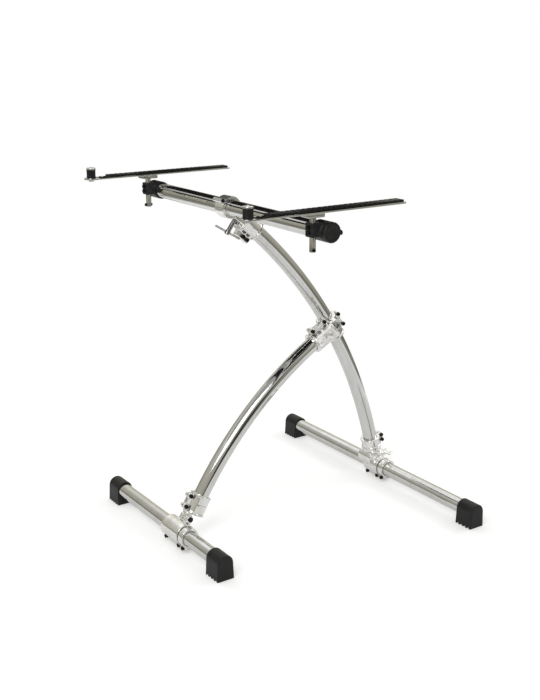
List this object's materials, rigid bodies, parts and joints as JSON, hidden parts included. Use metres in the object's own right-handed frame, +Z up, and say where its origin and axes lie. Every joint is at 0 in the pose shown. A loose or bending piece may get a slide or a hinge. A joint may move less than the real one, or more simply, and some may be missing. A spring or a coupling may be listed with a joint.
{
  "type": "keyboard stand",
  "caption": "Folding single-mast stand of bent chrome tube with a clamped side brace, two floor bars with rubber feet, and a top bar with two flat arms that carry a keyboard.",
  "frame": {"origin": "middle of the stand's box, on the floor", "axes": "+X along the floor bars to the right of the player, +Y away from the player, +Z up"},
  "size_m": [0.8382, 0.75, 0.8944],
  "materials": {
    "chrome_tube": "polished chrome plate on round steel tube",
    "cast_chrome": "chromed castings, slightly wavy",
    "chrome_steel": "chromed flat and rod steel",
    "black_steel": "black oxide screws, worn at the edges",
    "black_plastic": "black moulded plastic",
    "black_rubber": "black moulded rubber, dusty"
  },
  "bodies": {
    "mast": {"centre_clamp_base": "cast_chrome", "centre_clamp_bolt_1": "black_steel", "centre_clamp_bolt_2": "black_steel", "centre_clamp_cap": "cast_chrome", "main_tube": "chrome_tube", "pivot_screw": "black_steel", "rear_clamp_body": "cast_chrome", "rear_clamp_bolt_1": "black_steel", "rear_clamp_bolt_2": "black_steel", "rear_lock_bolt_1": "black_steel", "rear_lock_bolt_2": "black_steel", "rear_lock_ring": "cast_chrome", "top_clamp_body": "cast_chrome", "top_clamp_jaw": "cast_chrome", "top_jaw_pin": "black_steel", "top_socket_bolt_1": "black_steel", "top_socket_bolt_2": "black_steel"},
    "rear_wing": {"rear_wing_screw": "cast_chrome"},
    "tee": {"tee_handle": "chrome_steel"},
    "rear_base": {"rear_floor_bar": "chrome_tube", "rear_left_foot": "black_rubber", "rear_right_foot": "black_rubber", "rear_stop_ring": "cast_chrome"},
    "brace": {"brace_foot_bolt_1": "black_steel", "brace_foot_bolt_2": "black_steel", "brace_foot_clamp": "cast_chrome", "brace_tube": "chrome_tube", "head_clamp_base": "cast_chrome", "head_clamp_bolt_1": "black_steel", "head_clamp_bolt_2": "black_steel", "head_clamp_cap": "cast_chrome"},
    "front_base": {"front_bar_clamp": "cast_chrome", "front_clamp_bolt_1": "black_steel", "front_clamp_bolt_2": "black_steel", "front_floor_bar": "chrome_tube", "front_hinge_pin": "black_steel", "front_left_foot": "black_rubber", "front_right_foot": "black_rubber", "front_stop_ring": "cast_chrome"},
    "top_table": {"top_bar": "chrome_tube", "top_bar_left_cap": "black_plastic", "top_bar_right_cap": "black_plastic"},
    "left_clamp": {"left_back_bolt": "black_steel", "left_clamp_knob_1": "black_steel", "left_clamp_knob_2": "black_steel", "left_end_clamp": "black_plastic"},
    "left_arm": {"left_arm_pad": "black_rubber", "left_arm_plate": "chrome_steel", "left_arm_post": "chrome_steel", "left_post_sleeve": "black_rubber", "left_upright_rod": "chrome_steel"},
    "right_clamp": {"right_back_bolt": "black_steel", "right_clamp_knob_1": "black_steel", "right_clamp_knob_2": "black_steel", "right_end_clamp": "black_plastic"},
    "right_arm": {"right_arm_pad": "black_rubber", "right_arm_plate": "chrome_steel", "right_arm_post": "chrome_steel", "right_post_sleeve": "black_rubber", "right_upright_rod": "chrome_steel"}
  },
  "joints": [
    {"name": "brace_fold", "type": "hinge", "parent": "mast", "child": "brace", "pos_m": [-0.00615, 0.15471, 0.48189], "axis": [1, 0, 0], "range_deg": [-20, 62]},
    {"name": "front_foot_turn", "type": "hinge", "parent": "brace", "child": "front_base", "pos_m": [-0.00615, -0.32352, 0.06754], "axis": [1, 0, 0], "range_deg": [-50, 60]},
    {"name": "rear_bar_turn", "type": "hinge", "parent": "mast", "child": "rear_base", "pos_m": [-0.00615, 0.32997, 0.0385], "axis": [1, 0, 0], "range_deg": [-45, 45]},
    {"name": "top_tilt", "type": "hinge", "parent": "mast", "child": "top_table", "pos_m": [-0.00615, -0.16303, 0.821], "axis": [1, 0, 0], "range_deg": [-15, 45]},
    {"name": "tee_turn", "type": "hinge", "parent": "mast", "child": "tee", "pos_m": [-0.00615, -0.15646, 0.75637], "axis": [0, 0.5912, 0.8066], "range_deg": [-180, 180]},
    {"name": "rear_wing_turn", "type": "hinge", "parent": "mast", "child": "rear_wing", "pos_m": [0.00585, 0.36097, 0.06736], "axis": [0, 0.9793, 0.2022], "range_deg": [-180, 180]},
    {"name": "left_clamp_slide", "type": "slide", "parent": "top_table", "child": "left_clamp", "axis": [1, 0, 0], "range_m": [0, 0.27]},
    {"name": "right_clamp_slide", "type": "slide", "parent": "top_table", "child": "right_clamp", "axis": [1, 0, 0], "range_m": [-0.33, 0]},
    {"name": "left_rod_slide", "type": "slide", "parent": "left_clamp", "child": "left_arm", "axis": [0, 0, 1], "range_m": [-0.008, 0.02]},
    {"name": "right_rod_slide", "type": "slide", "parent": "right_clamp", "child": "right_arm", "axis": [0, 0, 1], "range_m": [-0.008, 0.02]}
  ]
}
